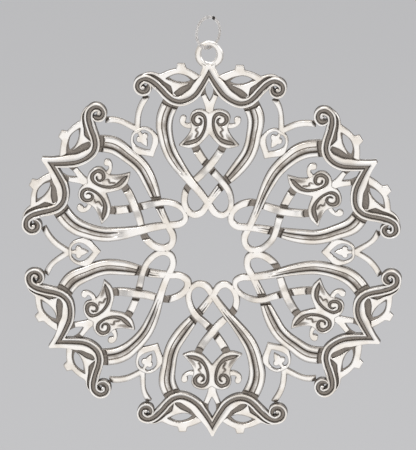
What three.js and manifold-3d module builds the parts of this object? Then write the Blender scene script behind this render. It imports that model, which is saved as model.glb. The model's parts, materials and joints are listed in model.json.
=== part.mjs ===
// Silver-plated snowflake ornament: an openwork casting of six scrolled arms, hung on a split ring.
// Lengths are millimetres. The ornament hangs facing forward: x to the right, z up, its face along -y.
// The origin is the inside top of the ring, where the hook or ribbon that holds the ornament bears.

import * as THREE from 'three';
import { mergeVertices } from 'three/addons/utils/BufferGeometryUtils.js';
import Module from 'manifold-3d';

// Layout of the pattern
const armCount = 6;
const armLength = 46;          // from the centre to the point of an arm
const square = armLength / 100; // side of a square of the grid on which an arm is drawn

// Heights of the relief above the flat back
const leafHeight = 1.15;
const linkHeight = 1.25;
const heartHeight = 1.45;
const trefoilHeight = 1.2;
const frameHeight = 1.65;
const strapHeight = 1.5;
const knotUnderHeight = 1.15;  // the lower strap in the knot at the centre
const underHeight = 0.9;       // a strap where it passes under another
const overHeight = 2.0;        // a strap where it passes over another
const bracketHeight = 2.3;
const palmetteHeight = 1.75;
const tendrilHeight = 1.2;

// Widths of the straps
const frameTopWidth = 3.95;    // under the bracket
const frameWaistWidth = 3.35;  // beside the heart
const frameFootWidth = 2.4;    // where a frame has narrowed to a strap
const knotWidth = 1.65;        // at the centre
const innerStrapWidth = 1.8;
const overLoopWidth = 1.4;
const underLoopWidth = 1.65;
const linkWidth = 1.25;
const bracketWidth = 2.7;
const palmetteGrooveWidth = 0.95;
const tendrilWidth = 1.0;
const tendrilTipWidth = 1.3;

// Profile of the straps
const draft = 0.2;             // lean of a side wall
const bandCrest = 0.4;         // from the foot of a grooved band to the crest beside its groove
const frameGroove = 0.5;       // depth of the groove in a frame band
const bracketGroove = 0.95;    // depth of the groove in the bracket
const palmetteGroove = 0.7;    // depth of the groove in a palmette
const cutterRise = 0.3;        // from a palmette's face to the top of what cuts its groove

// Volute at each end of a bracket
const voluteRadius = 2.5;
const voluteEntryRadius = 1.7; // where the middle of the bracket runs into the volute
const voluteEntryWidth = 2.4;
const voluteBandWidth = 1.65;
const voluteBallRadius = 0.95;
const voluteBallHeight = 2.0;
const voluteBallShoulder = 1.5; // height at which the ball starts to round off
const voluteStart = 82;        // degrees round the volute, from the side that faces the arm's middle
const voluteSettled = 170;     // where the band has its final width and radius
const voluteEnd = 345;

// Eye cast on the top arm
const eyeRise = 0.92;          // from the point of the arm to the middle of the eye
const eyeHoleRadius = 1.7;
const eyeWall = 1.5;           // diameter of the eye's round section
const eyeDepth = 0.85;         // from the flat back to the middle of that section
const eyeCollarHeight = 1.7;
const eyeCollarFootWidth = 3.15;
const eyeCollarNeckWidth = 2.4;
const eyeCollarHeadWidth = 3.0;

// Split ring
const ringOuterDiameter = 8.0;
const ringWire = 0.8;
const ringSplitGap = 0.4;
const ringSplitAngle = 30;     // clockwise from the top, degrees
const ringClearance = 0.3;     // between the ring's wire and the wall of the eye that hangs on it
const ringSideClearance = 0.13; // between the wire and the eye where the ring has turned against it

// Fineness of curves
const bracketTurn = 21;        // most that a bracket turns between two sections, degrees
const strapTurn = 26;
const carvingTurn = 33;        // the same for small carving and the outlines of plates
const longestStep = 4.5;       // longest straight stretch between two sections
const voluteSteps = 9;
const ringSteps = 30;
const roundSides = 8;
const ballSides = 6;
const roundSegments = 20;

const silver = { color: 0xcfc8ba, roughness: 0.28, metalness: 1 };
const wireSilver = { color: 0xd8d4cc, roughness: 0.2, metalness: 1 };

const wasm = await Module();
wasm.setup();

const radians = THREE.MathUtils.degToRad;

// A closed three.js geometry as a solid that can be joined and cut
function toSolid(geometry) {
  geometry.deleteAttribute('normal');
  geometry.deleteAttribute('uv');
  const merged = mergeVertices(geometry, 1e-5);
  const mesh = new wasm.Mesh({
    numProp: 3,
    vertProperties: new Float32Array(merged.attributes.position.array),
    triVerts: new Uint32Array(merged.index.array),
  });
  return new wasm.Manifold(mesh);
}

function toGeometry(solid) {
  const mesh = solid.getMesh();
  const geometry = new THREE.BufferGeometry();
  geometry.setAttribute('position', new THREE.BufferAttribute(mesh.vertProperties, 3));
  geometry.setIndex(new THREE.BufferAttribute(mesh.triVerts, 1));
  return geometry;
}

const join = (solids) => solids.reduce((whole, solid) => whole.add(solid));

// Walks a curve and keeps a station wherever it has turned or run far enough
function stationsAlong(place, size, turnStep) {
  const samples = 240;
  const stations = [];
  let lastHeading = place.getTangent(0);
  let lastPoint = place.getPoint(0);
  for (let i = 0; i <= samples; i += 1) {
    const t = i / samples;
    const point = place.getPoint(t);
    const heading = place.getTangent(t);
    const turned = THREE.MathUtils.radToDeg(Math.acos(Math.min(1, heading.dot(lastHeading))));
    const far = point.distanceTo(lastPoint) > longestStep;
    if (i === 0 || i === samples || turned > turnStep || far) {
      const { x: width, y: height } = size.getPoint(t);
      stations.push({ point, width, height });
      lastHeading = heading;
      lastPoint = point;
    }
  }
  return stations;
}

// Stations of a strap through knots [x, y, width, height], with x and y in squares of the grid
function strapLine(knots, turnStep = strapTurn) {
  const place = new THREE.SplineCurve(knots.map(([x, y]) => new THREE.Vector2(x * square, y * square)));
  const size = new THREE.SplineCurve(knots.map(([, , width, height]) => new THREE.Vector2(width, height)));
  return stationsAlong(place, size, turnStep);
}

// Unit vector to the right of the line at a station, lengthened at a corner so that the band keeps its width
function sideVector(stations, index) {
  const here = stations[index].point;
  const before = stations[Math.max(index - 1, 0)].point;
  const after = stations[Math.min(index + 1, stations.length - 1)].point;
  const arriving = here.clone().sub(before).normalize();
  const leaving = after.clone().sub(here).normalize();
  if (arriving.lengthSq() === 0) arriving.copy(leaving);
  if (leaving.lengthSq() === 0) leaving.copy(arriving);
  const sum = arriving.clone().add(leaving).normalize();
  const stretch = 1 / Math.max(sum.dot(arriving), 0.2);
  return new THREE.Vector2(sum.y, -sum.x).multiplyScalar(stretch);
}

// Loft of a section along stations; a section runs from its left foot over the top to its right foot
function loft(stations, section) {
  const positions = [];
  const index = [];
  const sections = stations.map(({ width, height }) => section(width, height));
  const size = sections[0].length;
  stations.forEach(({ point }, i) => {
    const side = sideVector(stations, i);
    sections[i].forEach(([across, up]) => {
      positions.push(point.x + side.x * across, point.y + side.y * across, up);
    });
  });
  for (let ring = 0; ring < (stations.length - 1) * size; ring += size) {
    for (let j = 0; j < size; j += 1) {
      const k = (j + 1) % size;
      index.push(ring + j, ring + k, ring + size + k);
      index.push(ring + j, ring + size + k, ring + size + j);
    }
  }
  const endFace = (corners, first, facing) => {
    const outline = corners.map(([across, up]) => new THREE.Vector2(across, up)).reverse();
    THREE.ShapeUtils.triangulateShape(outline, []).forEach((triangle) => {
      const corner = triangle.map((i) => first + size - 1 - i);
      index.push(...(facing ? corner.reverse() : corner));
    });
  };
  endFace(sections[0], 0, false);
  endFace(sections.at(-1), (stations.length - 1) * size, true);
  const geometry = new THREE.BufferGeometry();
  geometry.setAttribute('position', new THREE.Float32BufferAttribute(positions, 3));
  geometry.setIndex(index);
  return geometry;
}

// Wide band: two crests with a groove between them, shallower where the band is narrow
function groovedSection(groove, fullWidth) {
  return (width, height) => {
    const half = width / 2;
    const depth = groove * THREE.MathUtils.smoothstep(width, fullWidth * 0.4, fullWidth);
    return [
      [-half, 0],
      [-half + bandCrest * Math.min(1, width / fullWidth), height],
      [0, height - depth],
      [half - bandCrest * Math.min(1, width / fullWidth), height],
      [half, 0],
    ];
  };
}

// Narrow strap with sloping sides and a flat top
function strapSection(width, height) {
  const half = width / 2;
  return [[-half, 0], [-half + draft, height], [half - draft, height], [half, 0]];
}

// Cutter for a groove with a sharp bottom; its top stands above the surface that it cuts
function grooveSection(width, bottom) {
  const half = width / 2;
  const top = palmetteHeight + cutterRise;
  return [[-half, top], [half, top], [0, bottom]];
}

// A closed outline from smooth runs of grid points, with a corner wherever two runs meet
function outlinePoints(runs) {
  const points = [];
  runs.forEach((run) => {
    const knots = run.map(([x, y]) => new THREE.Vector2(x * square, y * square));
    if (knots.length === 2) {
      points.push(...knots);
    } else {
      const plain = new THREE.SplineCurve(knots.map(() => new THREE.Vector2(1, 1)));
      points.push(...stationsAlong(new THREE.SplineCurve(knots), plain, carvingTurn).map(({ point }) => point));
    }
  });
  return points.filter((point, i) => i === 0 || point.distanceTo(points[i - 1]) > 1e-6)
    .filter((point, i, kept) => i < kept.length - 1 || point.distanceTo(kept[0]) > 1e-6);
}

function plate(runs, height, holes = []) {
  const shape = new THREE.Shape(outlinePoints(runs));
  shape.holes = holes.map((hole) => new THREE.Path(outlinePoints(hole)));
  return new THREE.ExtrudeGeometry(shape, { depth: height, bevelEnabled: false });
}

// A low round boss with a sloping top, standing on the back
function boss(centre, radius, shoulder, height) {
  const profile = [
    new THREE.Vector2(0, 0),
    new THREE.Vector2(radius, 0),
    new THREE.Vector2(radius, shoulder),
    new THREE.Vector2(0, height),
  ];
  const geometry = new THREE.LatheGeometry(profile, ballSides);
  return geometry.rotateX(radians(90)).translate(centre.x, centre.y, 0);
}

// A solid and its mirror image on the other side of the arm's middle line
function bothSides(solid) {
  const image = toGeometry(solid).scale(-1, 1, 1);
  image.setIndex(Array.from(image.index.array).reverse());
  return [solid, toSolid(image)];
}

// The bracket: an ogee arch from volute to volute with its point outward
const bracketLine = [
  [0, 92.6], [-2.1, 88.5], [-4.4, 84.4], [-6.9, 81.0], [-10.3, 78.5],
  [-14.4, 77.4], [-18.4, 78.4], [-21.6, 81.0], [-24.5, 84.4], [-27.7, 87.6],
];
const voluteCentre = new THREE.Vector2(-33.0, 85.4).multiplyScalar(square);

function bracketHalf() {
  const knots = bracketLine.map(([x, y]) => [x, y, bracketWidth, bracketHeight]);
  const stations = strapLine(knots, bracketTurn);
  for (let i = 0; i <= voluteSteps; i += 1) {
    const around = THREE.MathUtils.lerp(voluteStart, voluteEnd, i / voluteSteps);
    const settled = Math.min(1, THREE.MathUtils.inverseLerp(voluteStart, voluteSettled, around));
    const width = THREE.MathUtils.lerp(voluteEntryWidth, voluteBandWidth, settled);
    const radius = THREE.MathUtils.lerp(voluteEntryRadius, voluteRadius - voluteBandWidth / 2, settled);
    const angle = radians(around);
    const offset = new THREE.Vector2(Math.cos(angle), Math.sin(angle)).multiplyScalar(radius);
    stations.push({ point: voluteCentre.clone().add(offset), width, height: bracketHeight });
  }
  return stations;
}

function bracket() {
  const left = bracketHalf();
  const right = left.slice(1).map(({ point, ...size }) => (
    { point: new THREE.Vector2(-point.x, point.y), ...size }));
  const arch = toSolid(loft([...left.reverse(), ...right], groovedSection(bracketGroove, bracketWidth)));
  const ball = toSolid(boss(voluteCentre, voluteBallRadius, voluteBallShoulder, voluteBallHeight));
  return join([arch, ...bothSides(ball)]);
}

// The leaf that backs each half of the bracket, pierced with an almond and tipped with a peg
const leafRuns = [
  [[-34.4, 90.4], [-31.6, 92.3], [-28.0, 92.1], [-24.8, 90.7]],
  [[-24.8, 90.7], [-20.3, 92.9], [-16.4, 93.8]],
  [[-15.6, 96.3], [-12.4, 96.3]],
  [[-11.6, 94.0], [-8.4, 92.4], [-5.0, 90.0], [-2.4, 87.8]],
  [[-2.4, 87.8], [-6.9, 81.0], [-10.3, 78.5], [-14.4, 77.4], [-18.4, 78.4], [-21.6, 81.0], [-27.6, 87.4],
    [-34.4, 90.4]],
];
const almondRuns = [
  [[-21.3, 89.3], [-17.8, 87.2], [-14.4, 86.6], [-8.0, 87.3]],
  [[-8.0, 87.3], [-11.2, 90.2], [-14.6, 91.0], [-21.3, 89.3]],
];

const leaves = () => bothSides(toSolid(plate(leafRuns, leafHeight, [almondRuns])));

// The interlace: each arm has two straps. A strap comes down from the bracket as a wide frame band, passes
// through the knot at the centre, turns back round a loop and climbs to the palmette on its own side.
// The straps cross four times, each over and under in turn.
const leftStrap = [
  [-17.5, 79.0, frameTopWidth, frameHeight],
  [-20.2, 74.5, frameTopWidth, frameHeight],
  [-22.2, 69.5, frameTopWidth, frameHeight],
  [-22.8, 64.5, frameTopWidth, frameHeight],
  [-22.1, 59.5, frameWaistWidth, frameHeight],
  [-20.9, 54.5, frameWaistWidth, frameHeight],
  [-18.9, 49.5, frameWaistWidth, frameHeight],
  [-15.9, 44.7, frameWaistWidth, frameHeight],
  [-12.4, 40.0, frameFootWidth, overHeight],
  [-8.4, 35.2, innerStrapWidth, overHeight],
  [-4.2, 30.2, knotWidth, frameHeight],
  [-0.2, 24.8, knotWidth, knotUnderHeight],
  [3.2, 19.8, knotWidth, strapHeight],
  [7.2, 18.2, overLoopWidth, strapHeight],
  [10.6, 20.2, overLoopWidth, strapHeight],
  [11.9, 23.9, overLoopWidth, strapHeight],
  [11.6, 27.9, overLoopWidth, strapHeight],
  [10.2, 31.8, overLoopWidth, overHeight],
  [7.5, 35.5, overLoopWidth, overHeight],
  [3.6, 39.4, overLoopWidth, strapHeight],
  [0.0, 43.2, innerStrapWidth, underHeight],
  [-3.2, 47.4, innerStrapWidth, strapHeight],
  [-5.6, 51.0, innerStrapWidth, strapHeight],
  [-7.6, 54.8, innerStrapWidth, strapHeight],
];
const rightStrap = [
  [17.5, 79.0, frameTopWidth, frameHeight],
  [20.2, 74.5, frameTopWidth, frameHeight],
  [22.2, 69.5, frameTopWidth, frameHeight],
  [22.8, 64.5, frameTopWidth, frameHeight],
  [22.3, 59.5, frameWaistWidth, frameHeight],
  [21.4, 54.5, frameWaistWidth, frameHeight],
  [19.6, 49.7, frameWaistWidth, frameHeight],
  [16.5, 44.9, frameWaistWidth, frameHeight],
  [13.0, 40.4, frameWaistWidth, strapHeight],
  [9.3, 36.2, frameFootWidth, underHeight],
  [5.0, 31.2, knotWidth, strapHeight],
  [0.2, 24.8, knotWidth, strapHeight],
  [-3.2, 19.8, knotWidth, strapHeight],
  [-7.2, 18.2, underLoopWidth, strapHeight],
  [-10.6, 20.2, underLoopWidth, strapHeight],
  [-12.2, 24.2, underLoopWidth, strapHeight],
  [-12.0, 28.4, underLoopWidth, strapHeight],
  [-10.6, 32.2, underLoopWidth, underHeight],
  [-7.4, 35.6, underLoopWidth, underHeight],
  [-3.6, 39.2, innerStrapWidth, strapHeight],
  [0.0, 43.2, innerStrapWidth, overHeight],
  [3.0, 47.0, innerStrapWidth, overHeight],
  [5.6, 50.8, innerStrapWidth, strapHeight],
  [7.6, 54.8, innerStrapWidth, strapHeight],
];

const interlace = () => [leftStrap, rightStrap].map((knots) => (
  toSolid(loft(strapLine(knots), groovedSection(frameGroove, frameWaistWidth)))));

// Palmettes: two curled half-leaves back to back under a forked stalk, each with a groove that follows its
// edge from the leaf's tip and winds into the curl, and with a tendril on its outer side
const palmetteSide = [
  [[0, 71.2], [-2.2, 72.5], [-5.2, 73.0], [-8.2, 71.9], [-9.8, 69.2], [-9.5, 66.0]],
  [[-9.5, 66.0], [-9.4, 62.8], [-11.4, 58.9], [-15.6, 55.0]],
  [[-15.6, 55.0], [-11.4, 53.2], [-6.4, 53.9], [0, 60.4]],
  [[0, 60.4], [0, 71.2]],
];
const palmetteGrooveLine = [
  [-13.2, 55.1], [-10.0, 55.6], [-6.6, 56.7], [-3.8, 59.2], [-2.2, 62.8], [-1.9, 66.6], [-2.8, 69.8],
  [-5.2, 70.9], [-7.6, 69.8], [-8.1, 67.4], [-6.8, 65.4], [-5.0, 65.3], [-4.2, 67.0],
];
const tendrilLine = [
  [-8.6, 63.9, tendrilWidth], [-11.2, 64.1, tendrilWidth], [-13.2, 65.3, tendrilWidth],
  [-13.9, 67.3, tendrilWidth], [-13.1, 69.1, tendrilTipWidth],
];

function palmettePair() {
  const bottom = palmetteHeight - palmetteGroove;
  const groove = palmetteGrooveLine.map(([x, y]) => [x, y, palmetteGrooveWidth, bottom]);
  const tendril = tendrilLine.map(([x, y, width]) => [x, y, width, tendrilHeight]);
  const halfLeaf = toSolid(plate(palmetteSide, palmetteHeight))
    .add(toSolid(loft(strapLine(tendril, carvingTurn), strapSection)))
    .subtract(toSolid(loft(strapLine(groove, carvingTurn), grooveSection)));
  return join(bothSides(halfLeaf));
}

// The stalk forks round a pointed gap, and both its branches run up behind the bracket to its point
const stalkRuns = [
  [[-1.7, 70.0], [-1.9, 73.0], [-2.7, 75.6], [-5.0, 80.6]],
  [[-3.8, 85.0], [0, 91.2]],
  [[0, 91.2], [3.8, 85.0]],
  [[5.0, 80.6], [2.7, 75.6], [1.9, 73.0], [1.7, 70.0]],
];
const stalkGap = [
  [[0, 77.4], [1.8, 83.0], [0, 88.6]],
  [[0, 88.6], [-1.8, 83.0], [0, 77.4]],
];

// Heart on the line between two arms, drawn with that line upward, with its trefoil and the two links
// that carry it from the volutes
const heartRuns = [
  [[0, 55.8], [-3.2, 58.6]],
  [[-6.8, 60.6], [-7.2, 66.4]],
  [[-5.6, 69.8], [-3.2, 72.3]],
  [[3.2, 72.3], [5.6, 69.8]],
  [[7.2, 66.4], [6.8, 60.6]],
  [[3.2, 58.6], [0, 55.8]],
];
const heartOpening = [
  [[0, 59.0], [3.6, 62.8]],
  [[4.9, 66.8], [3.9, 70.0]],
  [[0.8, 71.0], [-0.8, 71.0]],
  [[-3.9, 70.0], [-4.9, 66.8]],
  [[-3.6, 62.8], [0, 59.0]],
];
const trefoilRuns = [
  [[-0.9, 71.5], [-0.9, 69.4]],
  [[-3.1, 67.3], [0, 62.6]],
  [[3.1, 67.3], [0.9, 69.4]],
  [[0.9, 69.4], [0.9, 71.5]],
];
const linkLine = [[-0.4, 71.6], [2.0, 75.4], [4.8, 79.2], [8.2, 82.0], [12.2, 84.0], [15.0, 86.6]];

function heart() {
  const link = linkLine.map(([x, y]) => [x, y, linkWidth, linkHeight]);
  return [
    toSolid(plate(heartRuns, heartHeight, [heartOpening])),
    toSolid(plate(trefoilRuns, trefoilHeight)),
    ...bothSides(toSolid(loft(strapLine(link), strapSection))),
  ];
}

const turned = (solid, degrees) => toSolid(toGeometry(solid).rotateZ(radians(degrees)));

// Eye at the top: a round ring standing on a collar at the point of the bracket
const eyeRadius = eyeHoleRadius + eyeWall / 2;
const eyeCentre = armLength + eyeRise;

function addEye(casting) {
  const hole = new THREE.CylinderGeometry(eyeHoleRadius, eyeHoleRadius, bracketHeight * 4, roundSegments);
  hole.rotateX(radians(90)).translate(0, eyeCentre, 0);
  const rim = new THREE.TorusGeometry(eyeRadius, eyeWall / 2, roundSides, roundSegments);
  rim.translate(0, eyeCentre, eyeDepth);
  const collarLine = [
    [0, 91.5, eyeCollarFootWidth, eyeCollarHeight],
    [0, 96.2, eyeCollarNeckWidth, eyeCollarHeight],
    [0, (eyeCentre - eyeHoleRadius - eyeWall / 4) / square, eyeCollarHeadWidth, eyeDepth + eyeWall / 4],
  ];
  return casting
    .add(toSolid(loft(strapLine(collarLine), strapSection)))
    .subtract(toSolid(hole))
    .add(toSolid(rim));
}

function castingGeometry() {
  const stalk = toSolid(plate(stalkRuns, linkHeight, [stalkGap]));
  const arm = join([bracket(), ...leaves(), ...interlace(), palmettePair(), stalk]);
  const betweenArms = turned(join(heart()), 30);
  const sector = arm.add(betweenArms);
  const sectors = Array.from({ length: armCount }, (_, i) => turned(sector, (360 / armCount) * i));
  return toGeometry(addEye(join(sectors)));
}

// Ring bent from round wire, its two ends almost meeting
function ringGeometry() {
  const middleRadius = (ringOuterDiameter - ringWire) / 2;
  const split = radians(90 - ringSplitAngle);
  const halfGap = ringSplitGap / 2 / middleRadius;
  class RingLine extends THREE.Curve {
    getPoint(t, target = new THREE.Vector3()) {
      const angle = split + halfGap + t * (2 * Math.PI - 2 * halfGap);
      return target.set(middleRadius * Math.cos(angle), 0, middleRadius * Math.sin(angle));
    }
  }
  const section = new THREE.Shape();
  section.absarc(0, 0, ringWire / 2, 0, 2 * Math.PI);
  return new THREE.ExtrudeGeometry(section, {
    steps: ringSteps, curveSegments: roundSides / 2, extrudePath: new RingLine(),
  });
}

const ringInnerRadius = ringOuterDiameter / 2 - ringWire;
const ringMiddle = -ringInnerRadius;
const eyeWallCentre = ringMiddle - ringInnerRadius + ringClearance + eyeWall / 2;
const eyeMiddle = eyeWallCentre - eyeRadius;
const castingCentre = eyeMiddle - eyeCentre;

// Least distance between the middle lines of the ring's wire and the eye's wall, with the ring turned
function leastDistance(turn) {
  const middleRadius = ringInnerRadius + ringWire / 2;
  let least = Infinity;
  for (let angle = 180; angle < 360; angle += 3) {
    const reach = middleRadius * Math.cos(radians(angle));
    const rise = ringMiddle + middleRadius * Math.sin(radians(angle)) - eyeMiddle;
    const inPlane = Math.hypot(reach * Math.cos(radians(turn)), rise) - eyeRadius;
    least = Math.min(least, Math.hypot(inPlane, reach * Math.sin(radians(turn))));
  }
  return least;
}

// The ring has turned about the vertical until its wire lies beside the eye: degrees out of the eye's plane
function ringTurn() {
  const needed = (ringWire + eyeWall) / 2 + ringSideClearance;
  let turn = 0;
  while (turn < 90 && leastDistance(turn) < needed) turn += 1;
  return turn;
}

const ring = new THREE.Mesh(ringGeometry(), new THREE.MeshStandardMaterial(wireSilver));
ring.name = 'split_ring';
ring.position.z = ringMiddle;
ring.rotation.z = radians(ringTurn());

const casting = new THREE.Mesh(castingGeometry(), new THREE.MeshStandardMaterial(silver));
casting.name = 'snowflake_casting';
casting.position.set(0, eyeDepth, castingCentre);
casting.rotation.x = radians(90);

const ornament = new THREE.Group();
ornament.add(ring, casting);

export default ornament;
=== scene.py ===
"""Looks of a silver-plated snowflake ornament: a cast openwork star of six scrolled arms on a split ring.

Pieces are modelled flat on a bench in millimetres, seen from the front: x to the right, y outward along the
arm, z up towards the viewer, with the flat back at z = 0. Lines are drawn in squares of a grid, as a pattern
is, and a finished piece is then hung in its place in metres.
"""

import json
import logging
import math
from contextlib import contextmanager
from dataclasses import dataclass, field, replace
from enum import Enum, IntEnum
from typing import Callable, Iterator, Sequence

import bpy
import numpy as np
from mathutils import Matrix, Vector


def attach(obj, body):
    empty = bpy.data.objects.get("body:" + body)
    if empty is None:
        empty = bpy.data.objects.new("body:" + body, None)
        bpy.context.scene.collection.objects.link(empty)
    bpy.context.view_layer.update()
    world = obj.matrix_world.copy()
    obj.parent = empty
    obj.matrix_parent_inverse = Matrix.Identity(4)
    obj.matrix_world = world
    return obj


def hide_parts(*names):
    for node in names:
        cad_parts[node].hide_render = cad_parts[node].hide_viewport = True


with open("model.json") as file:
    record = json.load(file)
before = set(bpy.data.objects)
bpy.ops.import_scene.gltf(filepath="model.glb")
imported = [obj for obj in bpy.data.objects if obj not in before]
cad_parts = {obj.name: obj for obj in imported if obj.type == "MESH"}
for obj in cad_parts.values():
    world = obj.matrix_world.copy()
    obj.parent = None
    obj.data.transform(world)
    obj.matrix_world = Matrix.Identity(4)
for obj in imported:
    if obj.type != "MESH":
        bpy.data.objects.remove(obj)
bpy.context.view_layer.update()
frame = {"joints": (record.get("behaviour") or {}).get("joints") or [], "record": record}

Knot = Sequence[float]
Runs = Sequence[Sequence[Knot]]
Profile = list[tuple[float, float]]
Section = Callable[[Knot], Profile]
Colour = tuple[float, float, float, float]
Limits = tuple[float, float]
Piece = bpy.types.Object

log = logging.getLogger("ornament")

ARM_LENGTH = 46.0      # millimetres from the centre to the point of an arm
SQUARE = ARM_LENGTH / 100  # side of a square of the drawing grid
METRES = 0.001         # metres to a millimetre
ARM_COUNT = 6
ARM_TURN = 360 / ARM_COUNT
FOOT = 0.15            # height at which a side wall starts to lean in, millimetres
VOXEL = 0.095          # size of the quads of a softened piece, millimetres
LAYER = 0.008          # step between the backs of pieces that run into each other, millimetres
CLEAR = 1.0            # how far a cutter stands out of what it cuts, millimetres
FINE_STEP = 0.2        # between two stations of a line with grooves or rims, millimetres
SHADING_ANGLE = 38     # degrees between two faces up to which the shading runs on
CREST = "crest"        # attribute with the height of the polished surface at a point, millimetres


class Body(str, Enum):
    """The bodies that pieces ride on."""

    RING = "ring"
    ORNAMENT = "ornament"


class Slot(str, Enum):
    """The record's material slots."""

    WIRE = "ring_wire"
    CASTING = "plated_casting"


class Level(IntEnum):
    """Layer that the flat back of a piece lies on. Pieces that never meet may share one."""

    ARCH = 1
    CURL = 2
    BALL = 3
    LEAVES = 4
    PALMETTES = 5
    TENDRILS = 6
    STALK = 7
    STALK_ARCH = 8
    RIGHT_STRAP = 9
    HEART = 2
    TREFOIL = 3
    LINKS = 6
    COLLAR = 9
    GUSSETS = 10


def mix(low: float, high: float, share: float | np.ndarray) -> float | np.ndarray:
    """Value between low and high, for one share or for each of an array."""
    return low + (high - low) * share


def smooth(limits: Limits, values: float | np.ndarray) -> float | np.ndarray:
    """Smooth step from 0 at the first limit to 1 at the second, for one value or for each of an array."""
    share = np.clip((values - limits[0]) / (limits[1] - limits[0]), 0.0, 1.0)
    return share * share * (3 - 2 * share)


def both_sides(runs: Runs) -> Runs:
    """Closes the left half of an outline, drawn from the middle to the middle, with its mirror image."""
    return (*runs, *(tuple((-x, y) for x, y in reversed(run)) for run in reversed(runs)))


@dataclass(frozen=True)
class Line:
    """Smooth line through knots.

    Each knot is (x, y, size, size ...), with x and y in squares of the grid; sizes change smoothly along
    it. step is the least distance of its stations, in millimetres.
    """

    knots: Sequence[Knot]
    step: float = 0.3

    def stations(self) -> list[tuple[float, ...]]:
        """Walks the line.

        Returns:
            Stations (x, y, size, size ...) about one step apart, with x and y in millimetres.
        """
        knots = [(knot[0] * SQUARE, knot[1] * SQUARE, *knot[2:]) for knot in self.knots]
        last = len(knots) - 1
        stations = [tuple(knots[0])]
        for i in range(last):
            four = [knots[max(i - 1, 0)], knots[i], knots[i + 1], knots[min(i + 2, last)]]
            span = math.dist(four[1][:2], four[2][:2])
            count = max(1, math.ceil(span / self.step))
            stations += [self.between(four, j / count) for j in range(1, count + 1)]
        return stations

    @staticmethod
    def between(four: Sequence[Knot], share: float) -> tuple[float, ...]:
        """Point of the smooth curve between the middle two of four knots.

        Args:
            four: The knots before, at both ends of, and after the span.
            share: How far along the span.

        Returns:
            The values of a knot at that point.
        """
        values = []
        for before, here, there, after in zip(*four):
            arriving = (there - before) / 2
            leaving = (after - here) / 2
            cubic = 2 * here - 2 * there + arriving + leaving
            square = -3 * here + 3 * there - 2 * arriving - leaving
            values.append(((cubic * share + square) * share + arriving) * share + here)
        return tuple(values)


@dataclass(frozen=True)
class Dip:
    """Stretch where a strap sinks because another part of the casting passes over it.

    x and y are the middle of the crossing, in squares. The line of the part above runs through it at
    heading degrees; without a heading the stretch is round. reach is how far from that line the strap is
    sunken, sink how deep, span how far the line counts and edge half the width of the slope, all in
    millimetres.
    """

    x: float
    y: float
    reach: float
    sink: float
    heading: float | None = None
    span: float = 3.0
    edge: float = 0.25

    def depth(self, x: float, y: float) -> float:
        """How far a strap sinks at a point, in millimetres."""
        away = Vector((x - self.x * SQUARE, y - self.y * SQUARE))
        near = 1.0
        distance = away.length
        if self.heading is not None:
            angle = math.radians(self.heading)
            near = 1 - smooth((self.span - self.edge, self.span + self.edge), distance)
            distance = abs(away.x * math.sin(angle) - away.y * math.cos(angle))
        return self.sink * near * (1 - smooth((self.reach - self.edge, self.reach + self.edge), distance))


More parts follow.
